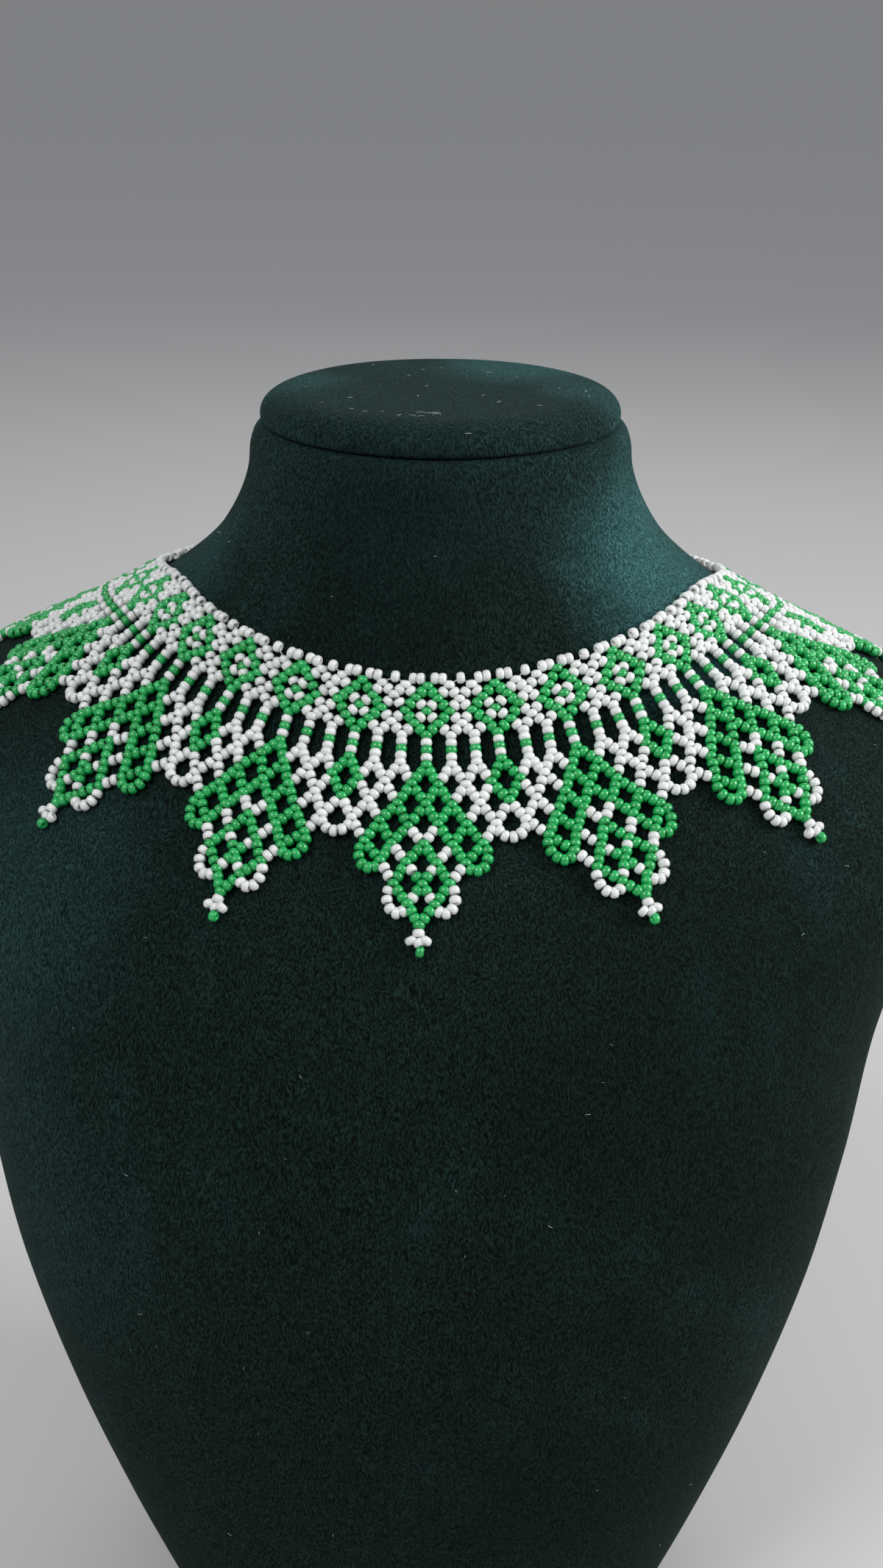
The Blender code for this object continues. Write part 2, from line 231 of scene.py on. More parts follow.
def glassFinish(name, colours):
    look = glassLook
    finish, graph, shader = newFinish(name)
    tone = graph.node("ShaderNodeAttribute", dict(attribute_name="tone"), output=2)  # one for each bead
    cloud = graph.noise(graph.place(), look["cloudScale"], 2.0, 0.5)
    shade = tone * look["toneShare"] + cloud.within(*look["cloudRange"]) * look["cloudShare"]
    feed(graph, shader, "Base Color", graph.mix(shade, *colours))
    feed(graph, shader, "Roughness", look["roughness"] + cloud * look["roughnessSpread"])
    feed(graph, shader, "Coat Weight", look["coat"])
    feed(graph, shader, "Coat Roughness", look["coatRoughness"])
    feed(graph, shader, "Subsurface Weight", look["glow"])
    feed(graph, shader, "Subsurface Radius", look["glowRadius"])
    feed(graph, shader, "Subsurface Scale", look["glowScale"])
    return finish


def brassFinish():
    look = brassLook
    finish, graph, shader = newFinish("clasp_brass")
    rubbed = graph.noise(graph.place(), look["wearScale"], 4.0, 0.6).within(*look["wearRange"])
    feed(graph, shader, "Base Color", graph.mix(rubbed, look["polished"], look["worn"]))
    feed(graph, shader, "Roughness", look["roughness"] + rubbed * look["roughnessSpread"])
    feed(graph, shader, "Metallic", 1.0)
    return finish


def fibreFinish(name, colours):
    look = fibreLook
    finish, graph, shader = newFinish(name)
    fuzz = graph.noise(graph.place(), look["fuzzScale"], 2.0, 0.5)
    feed(graph, shader, "Base Color", graph.mix(fuzz, *colours))
    feed(graph, shader, "Roughness", look["roughness"] + fuzz * look["roughnessSpread"])
    return finish


suede = suedeFinish()
whiteGlass = glassFinish("glass_white_bead", glassLook["white"])
greenGlass = glassFinish("glass_green_bead", glassLook["green"])
brass = brassFinish()
nylon = fibreFinish("nylon_thread", fibreLook["nylon"])
lintFinish = fibreFinish("lint", fibreLook["lint"])
print("finishes made")


# The bust's surface, as in the solids: sections by depth below the rim

bustForm = dict(
    rimHeight=0.345, neckRadius=0.0515, rimRound=0.003, shoulderHalfWidth=0.151,
    chestReach=0.1405, backReach=0.080, waistShift=0.060, sides=256, rings=200, ringCrowding=1.12,
    rimRings=9, rimStart=0.08, rimClear=1.3, swell=0.0007, swellDepth=0.006, swellReach=0.004,
)
surfaceSearch = dict(reach=0.4, halvings=34, depthStep=0.002, turnStep=0.01)
# depth as a share of the rim's height, then each reach as a share of its own, and the squareness:
# depth, width, front, back, middle, square
sectionTable = np.array((
    (0.000, 0.000, 0.000, 0.00, 0.00, 2.0),
    (0.043, 0.031, 0.045, 0.04, 0.00, 2.0),
    (0.087, 0.106, 0.128, 0.12, 0.00, 2.0),
    (0.130, 0.271, 0.204, 0.24, 0.00, 2.0),
    (0.159, 0.447, 0.255, 0.40, 0.00, 2.0),
    (0.188, 0.658, 0.326, 0.58, 0.00, 2.0),
    (0.217, 0.860, 0.425, 0.76, 0.00, 2.0),
    (0.246, 0.960, 0.532, 0.92, 0.00, 2.0),
    (0.275, 1.000, 0.656, 1.00, 0.05, 2.0),
    (0.319, 0.980, 0.785, 0.97, 0.17, 2.1),
    (0.377, 0.880, 0.894, 0.86, 0.37, 2.2),
    (0.449, 0.780, 0.961, 0.62, 0.62, 2.3),
    (0.536, 0.715, 1.000, 0.24, 0.83, 2.4),
    (0.638, 0.635, 0.990, -0.17, 0.97, 2.4),
    (0.754, 0.520, 0.950, -0.52, 1.00, 2.4),
    (0.870, 0.387, 0.880, -0.80, 0.97, 2.4),
    (1.000, 0.226, 0.770, -1.00, 0.90, 2.4),
))


def sectionSlopes():
    steps = np.diff(sectionTable[:, 1:], axis=0) / np.diff(sectionTable[:, :1], axis=0)
    above, below = steps[:-1], steps[1:]
    total = np.where(above + below == 0, 1.0, above + below)
    inner = np.where(above * below <= 0, 0.0, 2 * above * below / total)
    return np.concatenate((steps[:1], inner, steps[-1:]))


slopes = sectionSlopes()


def sectionAt(depth):
    share = np.clip(np.asarray(depth, float) / bustForm["rimHeight"], 0, 1)
    row = np.searchsorted(sectionTable[:, 0], share, side="right") - 1
    row = np.clip(row, 0, len(sectionTable) - 2)
    low, high = sectionTable[row], sectionTable[row + 1]
    width = (high - low)[..., :1]
    t = ((share - low[..., 0])[..., None]) / width
    value = (
        (1 + 2 * t) * (1 - t) ** 2 * low[..., 1:] + t * (1 - t) ** 2 * width * slopes[row]
        + t * t * (3 - 2 * t) * high[..., 1:] + t * t * (t - 1) * width * slopes[row + 1]
    )
    neck = bustForm["neckRadius"]
    reaches = [bustForm[name] - neck for name in ("shoulderHalfWidth", "chestReach", "backReach")]
    halfWidth, front, back = (neck + reach * value[..., i] for i, reach in enumerate(reaches))
    return halfWidth, front, back, bustForm["waistShift"] * value[..., 3], value[..., 4]


def surfacePlace(azimuth, depth):
    halfWidth, front, back, middle, square = sectionAt(depth)
    low = np.zeros_like(halfWidth + azimuth)
    high = low + surfaceSearch["reach"]
    for _ in range(surfaceSearch["halvings"]):
        radius = (low + high) / 2
        y = radius * np.cos(azimuth) - middle
        reach = np.where(y > 0, front - middle, back + middle)
        x = np.abs(radius * np.sin(azimuth)) / halfWidth
        inside = x ** square + (np.abs(y) / reach) ** square < 1
        low, high = np.where(inside, radius, low), np.where(inside, high, radius)
    height = bustForm["rimHeight"] - depth + 0 * radius
    return np.stack((radius * np.sin(azimuth), -radius * np.cos(azimuth), height), axis=-1)


def liftedPlace(azimuth, depth, lift):
    step, turn = bustForm["rimHeight"] * surfaceSearch["depthStep"], surfaceSearch["turnStep"]
    down = surfacePlace(azimuth, depth + step) - surfacePlace(azimuth, depth - step)
    across = surfacePlace(azimuth + turn, depth) - surfacePlace(azimuth - turn, depth)
    normal = np.cross(down, across)
    normal /= np.linalg.norm(normal, axis=-1, keepdims=True)
    return surfacePlace(azimuth, depth) + normal * np.asarray(lift)[..., None]


# Pieces

def newPiece(name, mesh, finish):
    mesh.materials.clear()
    mesh.materials.append(finish)
    piece = bpy.data.objects.new(name, mesh)
    scene.collection.objects.link(piece)
    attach(piece, "root")
    return piece


def smoothMesh(bm, name):
    bmesh.ops.recalc_face_normals(bm, faces=bm.faces)
    mesh = bpy.data.meshes.new(name)
    bm.to_mesh(mesh)
    bm.free()
    mesh.shade_smooth()
    return mesh


def ringed(bm, rings):  # closes a stack of rings of equal count, with a fan at each end
    loops = [[bm.verts.new(point) for point in ring] for ring in rings]
    for upper, lower in zip(loops, loops[1:]):
        for i in range(len(upper)):
            j = (i + 1) % len(upper)
            bm.faces.new((upper[i], upper[j], lower[j], lower[i]))
    for loop in (loops[0], loops[-1]):
        centre = bm.verts.new(sum((vert.co for vert in loop), Vector()) / len(loop))
        for i in range(len(loop)):
            bm.faces.new((loop[i], loop[(i + 1) % len(loop)], centre))


def bustMesh():
    form = bustForm
    angles = 2 * pi * (np.arange(form["sides"]) + 0.5) / form["sides"]
    turns = np.linspace(form["rimStart"], pi / 2, form["rimRings"])
    rim = [(form["rimRound"] * (1 - cos(t)), form["rimRound"] * (1 - sin(t))) for t in turns]
    rings = [(0.0, form["rimRound"])] + rim
    depths = np.linspace(0, 1, form["rings"]) ** form["ringCrowding"] * form["rimHeight"]
    rings += [(depth, 0.0) for depth in depths if depth > form["rimRound"] * form["rimClear"]]
    made = []
    for depth, inset in rings:
        halfWidth, front, back, middle, square = sectionAt(depth)
        hem = (depth - form["swellDepth"]) / form["swellReach"]
        swell = form["swell"] * np.exp(-hem ** 2)  # the cloth turned over the rim
        reach = np.where(np.cos(angles) > 0, front - middle, back + middle)
        x = (halfWidth - inset + swell) * np.abs(np.sin(angles)) ** (2 / square) * np.sign(np.sin(angles))
        y = (reach - inset + swell) * np.abs(np.cos(angles)) ** (2 / square) * np.sign(np.cos(angles))
        height = np.full_like(x, form["rimHeight"] - depth)
        made.append(np.stack((x, -middle - y, height), axis=-1))
    bm = bmesh.new()
    ringed(bm, made)
    return smoothMesh(bm, "suede_bust")


capForm = dict(
    radius=0.0507, thickness=0.0085, edgeReach=0.0100, edgeHeight=0.0066, lowRound=0.0012,
    sides=192, lowRings=7, edgeRings=15, topRings=16, topShares=(0.96, 0.06),
    wander=((0.00022, 3, 1.0), (0.00014, 7, 0.4)),  # depth of a wave, waves round the edge, start
    tuck=0.0003,  # how far the edge is drawn in
)


def capMesh():
    form = capForm
    whole, reach, rise, low = (form[name] for name in ("radius", "edgeReach", "edgeHeight", "lowRound"))
    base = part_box("neck_cap")[0].z
    top = base + form["thickness"]
    turns = np.linspace(0, pi / 2, form["lowRings"])
    profile = [(whole - low * (1 - sin(t)), base + low * (1 - cos(t))) for t in turns]
    turns = np.linspace(0, pi / 2, form["edgeRings"])
    profile += [(whole - reach * (1 - cos(t)), top - rise * (1 - sin(t))) for t in turns]
    profile += [((whole - reach) * share, top) for share in np.linspace(*form["topShares"], form["topRings"])]
    rings = []
    for radius, height in profile:
        ring = []
        for i in range(form["sides"]):
            a = 2 * pi * i / form["sides"]
            wander = sum(size * sin(waves * a + start) for size, waves, start in form["wander"])
            out = radius + (wander - form["tuck"]) * (radius / whole)
            ring.append((out * sin(a), -out * cos(a), height))
        rings.append(ring)
    bm = bmesh.new()
    ringed(bm, rings)
    return smoothMesh(bm, "suede_cap")


bust = newPiece("suede_bust", bustMesh(), suede)
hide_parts("bust_body")
cap = newPiece("suede_cap", capMesh(), suede)
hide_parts("neck_cap")
print("bust and cap made")


# The collar's grid: a column and a count of bead lengths down give a place on the bust

collarForm = dict(
    peaks=13, columnsPerPeak=6, beadDiameter=0.0030, beadLength=0.0020, pitch=0.00211,
    heightShare=0.1215, dipShare=0.0328, dipPower=5.4, fallShare=0.027,
    fallStart=radians(65), fallEnd=radians(115), turn=radians(3.95), claspRoom=0.043,
    lift=0.0019, liftSpread=0.00012, nodeShift=0.032, nodeDrop=0.11, droop=0.7,
    pitchLift=0.002, holeReach=0.12, holeTilt=0.07,
    edgeSteps=720, downSteps=360, downRange=(-0.008, 0.100), downRows=109,
)
topRow = dict(drop=-0.95, dropSpread=0.06, single=(0.5,), pair=(0.32, 0.68))
tailForm = dict(beads=4, length=0.0095, start=0.08, drop=0.05)  # the short strand on to the clasp
# bead lengths down from the first row of shared beads
rowDrop = {
    1: 0.0, 2: 1.7, 3: 3.4, 4: 5.05, 5: 6.7, 6: 10.6, 7: 13.35, 8: 16.1, 9: 18.8,
    10: 21.45, 11: 24.15, 12: 26.85, 13: 29.4, 14: 32.0,
}
pointSway = {-12: -0.35, -6: 0.1, 0: 0.05, 6: 0.45, 12: 0.1}  # columns that a point's tip leans by
# metres between the columns in the lower rows of a point
pointPitch = {10: 0.0075, 11: 0.0072, 12: 0.0073, 13: 0.0068, 14: 0.0068}
columnCount = collarForm["peaks"] * collarForm["columnsPerPeak"]
lastColumn = columnCount // 2


def topEdgeDepth(azimuth):
    form = collarForm
    fromFront = np.abs((azimuth - form["turn"] + pi) % (2 * pi) - pi)
    dip = ((1 + np.cos(fromFront)) / 2) ** form["dipPower"]
    t = np.clip((fromFront - form["fallStart"]) / (form["fallEnd"] - form["fallStart"]), 0, 1)
    fall = t * t * (3 - 2 * t)
    return bustForm["rimHeight"] * (form["heightShare"] + form["dipShare"] * dip + form["fallShare"] * fall)


def travelled(points):
    steps = np.linalg.norm(np.diff(points, axis=-2), axis=-1)
    start = np.zeros(steps.shape[:-1] + (1,))
    return np.concatenate((start, np.cumsum(steps, axis=-1)), axis=-1)


# lengths round the top edge, from the front
edgeAngles = collarForm["turn"] + np.linspace(-pi, pi, collarForm["edgeSteps"] + 1)
edgeLengths = travelled(liftedPlace(edgeAngles, topEdgeDepth(edgeAngles), collarForm["beadDiameter"] / 2))
edgeLengths -= edgeLengths[collarForm["edgeSteps"] // 2]
columnSpacing = (edgeLengths[-1] - edgeLengths[0] - collarForm["claspRoom"]) / columnCount

# lengths down the bust, from the top edge
downAngles = collarForm["turn"] + np.linspace(-pi, pi, collarForm["downSteps"] + 1)
downOffsets = np.linspace(*collarForm["downRange"], collarForm["downRows"])
downDepths = topEdgeDepth(downAngles)[:, None] + downOffsets[None, :]
downLengths = travelled(surfacePlace(downAngles[:, None], downDepths))
downLengths -= np.array([np.interp(0.0, downOffsets, row) for row in downLengths])[:, None]


def onCollar(column, drop, lift):
    azimuth = np.interp(np.asarray(column) * columnSpacing, edgeLengths, edgeAngles)
    step = (azimuth - downAngles[0]) / (downAngles[1] - downAngles[0])
    index = np.clip(step.astype(int), 0, len(downAngles) - 2)
    share = step - index
    lengths = np.asarray(drop) * collarForm["beadLength"] + 0 * azimuth
    low, high = (
        np.array([np.interp(n, downLengths[i], downDepths[i]) for n, i in zip(lengths, index + side)])
        for side in (0, 1)
    )
    return liftedPlace(azimuth, low * (1 - share) + high * share, lift)


def pitchAt(column, drop):  # metres from one column to the next
    columns = np.array([column - 0.5, column + 0.5])
    ends = onCollar(columns, np.array([drop, drop]), collarForm["pitchLift"])
    return float(np.linalg.norm(ends[1] - ends[0]))


# The netting chart: shared beads by row and column, and the beads between them. G green, W white.
# A diamond repeats every 3 columns and a long point every 6, and both are alike on either side.

diamondNodes = {
    1: {0: "G", 1: "W"}, 2: {0.5: "G", 1.5: "W"}, 3: {0: "G", 1: "G"},
    4: {0.5: "G", 1.5: "W"}, 5: {0: "G", 1: "W"},
}
diamondLinks = (
    (1, 0, 2, 0.5, "G"), (1, 1, 2, 0.5, "W"), (1, 1, 2, 1.5, "W"),
    (2, 0.5, 3, 1, "G"), (2, 0.5, 3, 0, "W"), (2, 1.5, 3, 1, "W"),
    (3, 0, 4, 0.5, "W"), (3, 1, 4, 0.5, "G"), (3, 1, 4, 1.5, "W"),
    (4, 0.5, 5, 0, "G"), (4, 0.5, 5, 1, "W"), (4, 1.5, 5, 1, "W"),
    (5, 0, 6, 0, "WGW"), (5, 1, 6, 1, "WGW"),
)
pointNodes = {
    6: {0: "G", 1: "W", 2: "W", 3: "G"}, 7: {0.5: "G", 1.5: "W", 2.5: "G"},
    8: {0: "G", 1: "G", 2: "W", 3: "G"}, 9: {0.5: "G", 1.5: "G", 2.5: "W"},
    10: {0: "G", 1: "G", 2: "G"}, 11: {0.5: "G", 1.5: "G"}, 12: {0: "G", 1: "G"},
    13: {0.5: "G"}, 14: {0: "G"},
}
pointLinks = (
    (6, 0, 7, 0.5, "GG"), (6, 1, 7, 0.5, "WW"), (6, 1, 7, 1.5, "WW"),
    (6, 2, 7, 1.5, "WW"), (6, 2, 7, 2.5, "WW"), (6, 3, 7, 2.5, "GG"),
    (7, 0.5, 8, 0, "GG"), (7, 0.5, 8, 1, "GG"), (7, 1.5, 8, 1, "WW"),
    (7, 1.5, 8, 2, "WW"), (7, 2.5, 8, 2, "WW"), (7, 2.5, 8, 3, "GG"),
    (8, 0, 9, 0.5, "GG"), (8, 1, 9, 0.5, "GG"), (8, 1, 9, 1.5, "GG"),
    (8, 2, 9, 1.5, "WW"), (8, 2, 9, 2.5, "WW"), (8, 3, 9, 2.5, "WW"),
    (9, 0.5, 10, 0, "WW"), (9, 0.5, 10, 1, "GG"), (9, 1.5, 10, 1, "GG"),
    (9, 1.5, 10, 2, "GG"), (9, 2.5, 10, 2, "WW"),
    (10, 0, 11, 0.5, "GG"), (10, 1, 11, 0.5, "WW"), (10, 1, 11, 1.5, "GG"), (10, 2, 11, 1.5, "GG"),
    (11, 0.5, 12, 0, "WG"), (11, 0.5, 12, 1, "GG"), (11, 1.5, 12, 1, "WW"),
    (12, 0, 13, 0.5, "GW"), (12, 1, 13, 0.5, "GG"), (13, 0.5, 14, 0, "GG"),
)
sideLoops = ((10, 2, 11, 1.5, "GGGGG"), (12, 1, 13, 0.5, "WWWWW"))
valleyLoop = "WWWWW"
# the tip's own beads: column in bead pitches of the point, drop, colour, direction of the hole
tipBeads = (
    (0.0, 33.0, "W", (0, 1)), (-0.26, 33.9, "W", (0.12, 1)), (0.26, 33.9, "W", (-0.12, 1)),
    (0.03, 34.15, "W", (0.1, 1)), (0.06, 35.2, "G", (1, 0.4)),
)
arcSearch = dict(low=0.01, high=pi - 0.05, halvings=40)  # half the angle that a loop spans


class Netting:
    def __init__(self):
        self.beads = []  # column, drop, hole column, hole drop, colour
        self.nodes = {}
        self.strands = []
        self.strandKeys = set()
        self.tails = []

    def addBead(self, column, drop, hole, colour):
        self.beads.append((column, drop, hole[0], hole[1], colour))
        return len(self.beads) - 1

    def addNode(self, row, column, colour, centre):
        key = (row, round(column * 2))
        if key in self.nodes or abs(column) > lastColumn:
            return
        drop = rowDrop[row] + chance.normal(0, collarForm["nodeDrop"])
        place = column
        if row in pointPitch:
            place = centre + (column - centre) * pointPitch[row] / pitchAt(centre, rowDrop[row])
            place += pointSway.get(centre, 0.0) * (rowDrop[row] - rowDrop[9]) / (rowDrop[14] - rowDrop[9])
        place += chance.normal(0, collarForm["nodeShift"])
        self.nodes[key] = self.addBead(place, drop, (0, 1), colour)

    def ends(self, link, centre, side):
        rowA, columnA, rowB, columnB = link[:4]
        keys = (rowA, round(2 * (centre + side * columnA))), (rowB, round(2 * (centre + side * columnB)))
        return [self.nodes.get(key) for key in keys], keys

    def addStraight(self, link, centre, side):
        (first, last), keys = self.ends(link, centre, side)
        if first is None or last is None or keys in self.strandKeys:
            return
        self.strandKeys.add(keys)
        a, b = self.beads[first], self.beads[last]
        hole = (b[0] - a[0], b[1] - a[1])
        count = len(link[4]) + 1
        strand = [first]
        for i, colour in enumerate(link[4], start=1):
            strand.append(self.addBead(a[0] + hole[0] * i / count, a[1] + hole[1] * i / count, hole, colour))
        self.strands.append(strand + [last])

    def addArc(self, first, last, colours, side):  # beads on a round loop to one side of two nodes
        a, b = self.beads[first], self.beads[last]
        pitch = pitchAt((a[0] + b[0]) / 2, (a[1] + b[1]) / 2)
        chord = np.array([(b[0] - a[0]) * pitch, (b[1] - a[1]) * collarForm["beadLength"]])
        span = float(np.linalg.norm(chord))
        length = (len(colours) + 1) * collarForm["pitch"]
        low, high = arcSearch["low"], arcSearch["high"]
        for _ in range(arcSearch["halvings"]):
            half = (low + high) / 2
            low, high = (half, high) if sin(half) / half > span / length else (low, half)
        radius = length / (2 * half)
        along = chord / span
        out = np.array([along[1], -along[0]]) * side
        out = out + np.array([0.0, collarForm["droop"]])  # the loops hang
        out /= np.linalg.norm(out)
        strand = [first]
        for i, colour in enumerate(colours, start=1):
            t = -half + 2 * half * i / (len(colours) + 1)
            spot = chord / 2 + along * radius * sin(t) + out * radius * (cos(t) - cos(half))
            heading = along * cos(t) - out * sin(t)
            hole = (heading[0] / pitch, heading[1] / collarForm["beadLength"])
            column, drop = a[0] + spot[0] / pitch, a[1] + spot[1] / collarForm["beadLength"]
            strand.append(self.addBead(column, drop, hole, colour))
        self.strands.append(strand + [last])


def knitCollar():
    net = Netting()
    reach = lastColumn // 3
    for number in range(-reach, reach + 1):
        for row, nodes in diamondNodes.items():
            for column, colour in nodes.items():
                for side in (1, -1):
                    net.addNode(row, 3 * number + side * column, colour, 0)
    centres = [6 * number for number in range(-(lastColumn // 6), lastColumn // 6 + 1)]
    for centre in centres:
        for row, nodes in pointNodes.items():
            for column, colour in nodes.items():
                for side in (1, -1):
                    net.addNode(row, centre + side * column, colour, centre)
    for number in range(-reach, reach + 1):
        for link in diamondLinks:
            for side in (1, -1):
                net.addStraight(link, 3 * number, side)
    for centre in centres:
        for side in (1, -1):
            for link in pointLinks:
                net.addStraight(link, centre, side)
            for link in sideLoops:
                (first, last), keys = net.ends(link, centre, side)
                net.addArc(first, last, link[4], side)
        first, last = net.nodes.get((9, 2 * centre + 5)), net.nodes.get((9, 2 * centre + 7))
        if last is not None:
            net.addArc(first, last, valleyLoop, -1)
        end = net.nodes[(14, 2 * centre)]
        column, drop = net.beads[end][:2]
        pitch = pitchAt(column, drop)
        strand = [end]
        for shift, height, colour, hole in tipBeads:
            place = column + shift * pointPitch[14] / pitch
            strand.append(net.addBead(place, drop - rowDrop[14] + height, hole, colour))
        node, top, left, right, middle, tip = strand
        net.strands += [[node, top, left, middle, tip], [top, right, tip]]
    for column in range(-lastColumn, lastColumn):
        strand = [net.nodes[(1, 2 * column)]]
        # one bead over every third gap, two over the others
        for share in topRow["single" if column % 3 == 1 else "pair"]:
            drop = topRow["drop"] + chance.normal(0, topRow["dropSpread"])
            strand.append(net.addBead(column + share, drop, (1, 0), "W"))
        net.strands.append(strand + [net.nodes[(1, 2 * column + 2)]])
    for side in (-1, 1):
        strand = [net.nodes[(1, 2 * side * lastColumn)]]
        for i in range(1, tailForm["beads"] + 1):
            along = side * (lastColumn + tailForm["start"] + i * collarForm["pitch"] / columnSpacing)
            strand.append(net.addBead(along, tailForm["drop"] * i, (side, 0), "W"))
        net.strands.append(strand)
        net.tails.append(strand[-1])
    return net


net = knitCollar()
beadTable = np.array([bead[:4] for bead in net.beads])
beadColours = np.array([bead[4] for bead in net.beads])
beadLift = collarForm["lift"] + chance.normal(0, collarForm["liftSpread"], len(beadTable))
beadPlaces = onCollar(beadTable[:, 0], beadTable[:, 1], beadLift)
beadReach = collarForm["holeReach"] / np.linalg.norm(beadTable[:, 2:], axis=1)[:, None] * beadTable[:, 2:]
beadAhead = onCollar(beadTable[:, 0] + beadReach[:, 0], beadTable[:, 1] + beadReach[:, 1], beadLift)
beadHoles = beadAhead - beadPlaces
beadHoles /= np.linalg.norm(beadHoles, axis=1)[:, None]
beadHoles += chance.normal(0, collarForm["holeTilt"], beadHoles.shape)
print(f"netting chart laid out: {len(beadPlaces)} beads, {len(net.strands)} strands")


# Geometry Nodes: seed beads on points, thread along edges, lint on the suede

def newTree(name, inputs):
    tree = bpy.data.node_groups.new(name, "GeometryNodeTree")
    tree.interface.new_socket("Geometry", in_out="INPUT", socket_type="NodeSocketGeometry")
    for label, kind in inputs.items():
        tree.interface.new_socket(label, in_out="INPUT", socket_type=kind)
    tree.interface.new_socket("Geometry", in_out="OUTPUT", socket_type="NodeSocketGeometry")
    graph = Graph(tree)
    given = tree.nodes.new("NodeGroupInput")
    return tree, graph, {socket.name: Socket(graph, socket) for socket in given.outputs if socket.name}


def endTree(graph, geometry, given):
    geometry = graph.node("GeometryNodeRealizeInstances", None, {"Geometry": geometry})
    geometry = graph.node("GeometryNodeSetMaterial", None,
                          {"Geometry": geometry, "Material": given["Finish"]})
    outlet = graph.tree.nodes.new("NodeGroupOutput")
    graph.tree.links.new(geometry.socket, outlet.inputs[0])


def circle(graph, sides, radius):
    return graph.node("GeometryNodeCurvePrimitiveCircle", None, {"Resolution": sides, "Radius": radius})


def seedBeadTree():
    number, whole = "NodeSocketFloat", "NodeSocketInt"
    tree, graph, given = newTree("seed_beads", {
        "Bead diameter": number, "Bead length": number, "Hole diameter": number, "Size spread": number,
        "Sides": whole, "Wall sides": whole, "Seed": whole, "Finish": "NodeSocketMaterial",
    })
    wall = (given["Bead diameter"] - given["Hole diameter"]) / 2
    size = graph.node("ShaderNodeCombineXYZ", None, {0: wall / 2, 1: given["Bead length"] / 2, 2: 1.0})
    outline = circle(graph, given["Wall sides"], 1.0)
    outline = graph.node("GeometryNodeTransform", None, {"Geometry": outline, "Scale": size})
    ring = circle(graph, given["Sides"], (given["Bead diameter"] - wall) / 2)
    bead = graph.node("GeometryNodeCurveToMesh", None, {"Curve": ring, "Profile Curve": outline})
    bead = graph.node("GeometryNodeSetShadeSmooth", None, {"Geometry": bead})
    attribute = dict(data_type="FLOAT_VECTOR")
    hole = graph.node("GeometryNodeInputNamedAttribute", attribute, {"Name": "holeAxis"})
    turn = graph.node("FunctionNodeAlignRotationToVector", dict(axis="Z"), {"Vector": hole})
    spread, seed = given["Size spread"], given["Seed"]
    across, along = (graph.random(1.0 - spread, 1.0 + spread, seed + i) for i in range(2))
    scale = graph.node("ShaderNodeCombineXYZ", None, {0: across, 1: across, 2: along})
    beads = graph.node("GeometryNodeInstanceOnPoints", None,
                       {"Points": given["Geometry"], "Instance": bead, "Rotation": turn, "Scale": scale})
    tone = graph.random(0.0, 1.0, seed + 7)  # so that the beads differ a little in shade
    beads = graph.node("GeometryNodeStoreNamedAttribute", dict(data_type="FLOAT", domain="INSTANCE"),
                       {"Geometry": beads, "Name": "tone", "Value": tone})
    endTree(graph, beads, given)
    return tree


def threadTree():
    tree, graph, given = newTree("thread", {
        "Thread diameter": "NodeSocketFloat", "Sides": "NodeSocketInt", "Finish": "NodeSocketMaterial",
    })
    curve = graph.node("GeometryNodeMeshToCurve", None, {"Mesh": given["Geometry"]})
    profile = circle(graph, given["Sides"], given["Thread diameter"] / 2)
    thread = graph.node("GeometryNodeCurveToMesh", None,
                        {"Curve": curve, "Profile Curve": profile, "Fill Caps": True})
    thread = graph.node("GeometryNodeSetShadeSmooth", None, {"Geometry": thread})
    endTree(graph, thread, given)
    return tree


def lintTree():
    number, whole = "NodeSocketFloat", "NodeSocketInt"
    tree, graph, given = newTree("lint", {
        "Fibres per square metre": number, "Fibre length": number, "Fibre diameter": number,
        "Bend": number, "Rise": number, "Shortest": number, "Longest": number,
        "Steps": whole, "Sides": whole, "Seed": whole, "Finish": "NodeSocketMaterial",
    })
    seed = given["Seed"]
    spots = graph.node("GeometryNodeDistributePointsOnFaces", None,
                       {"Mesh": given["Geometry"], "Density": given["Fibres per square metre"], "Seed": seed})
    half = given["Fibre length"] / 2
    ends = [graph.node("ShaderNodeCombineXYZ", None, {0: half * side, 1: 0.0, 2: 0.0}) for side in (-1, 1)]
    bend = graph.node("ShaderNodeCombineXYZ", None,
                      {0: 0.0, 1: half * given["Bend"], 2: half * given["Rise"]})
    fibre = graph.node("GeometryNodeCurveQuadraticBezier", None,
                       {"Resolution": given["Steps"], "Start": ends[0], "Middle": bend, "End": ends[1]})
    profile = circle(graph, given["Sides"], given["Fibre diameter"] / 2)
    fibre = graph.node("GeometryNodeCurveToMesh", None,
                       {"Curve": fibre, "Profile Curve": profile, "Fill Caps": True})
    normal = graph.node("GeometryNodeInputNormal")
    turn = graph.node("FunctionNodeAlignRotationToVector", dict(axis="Z"), {"Vector": normal})
    spin = graph.node("ShaderNodeCombineXYZ", None, {0: 0.0, 1: 0.0, 2: graph.random(0.0, 2 * pi, seed + 1)})
    turn = graph.node("FunctionNodeRotateRotation", dict(rotation_space="LOCAL"), {0: turn, 1: spin})
    grown = graph.random(given["Shortest"], given["Longest"], seed + 2)
    fibres = graph.node("GeometryNodeInstanceOnPoints", None,
                        {"Points": spots, "Instance": fibre, "Rotation": turn, "Scale": grown})
    endTree(graph, fibres, given)
    return tree


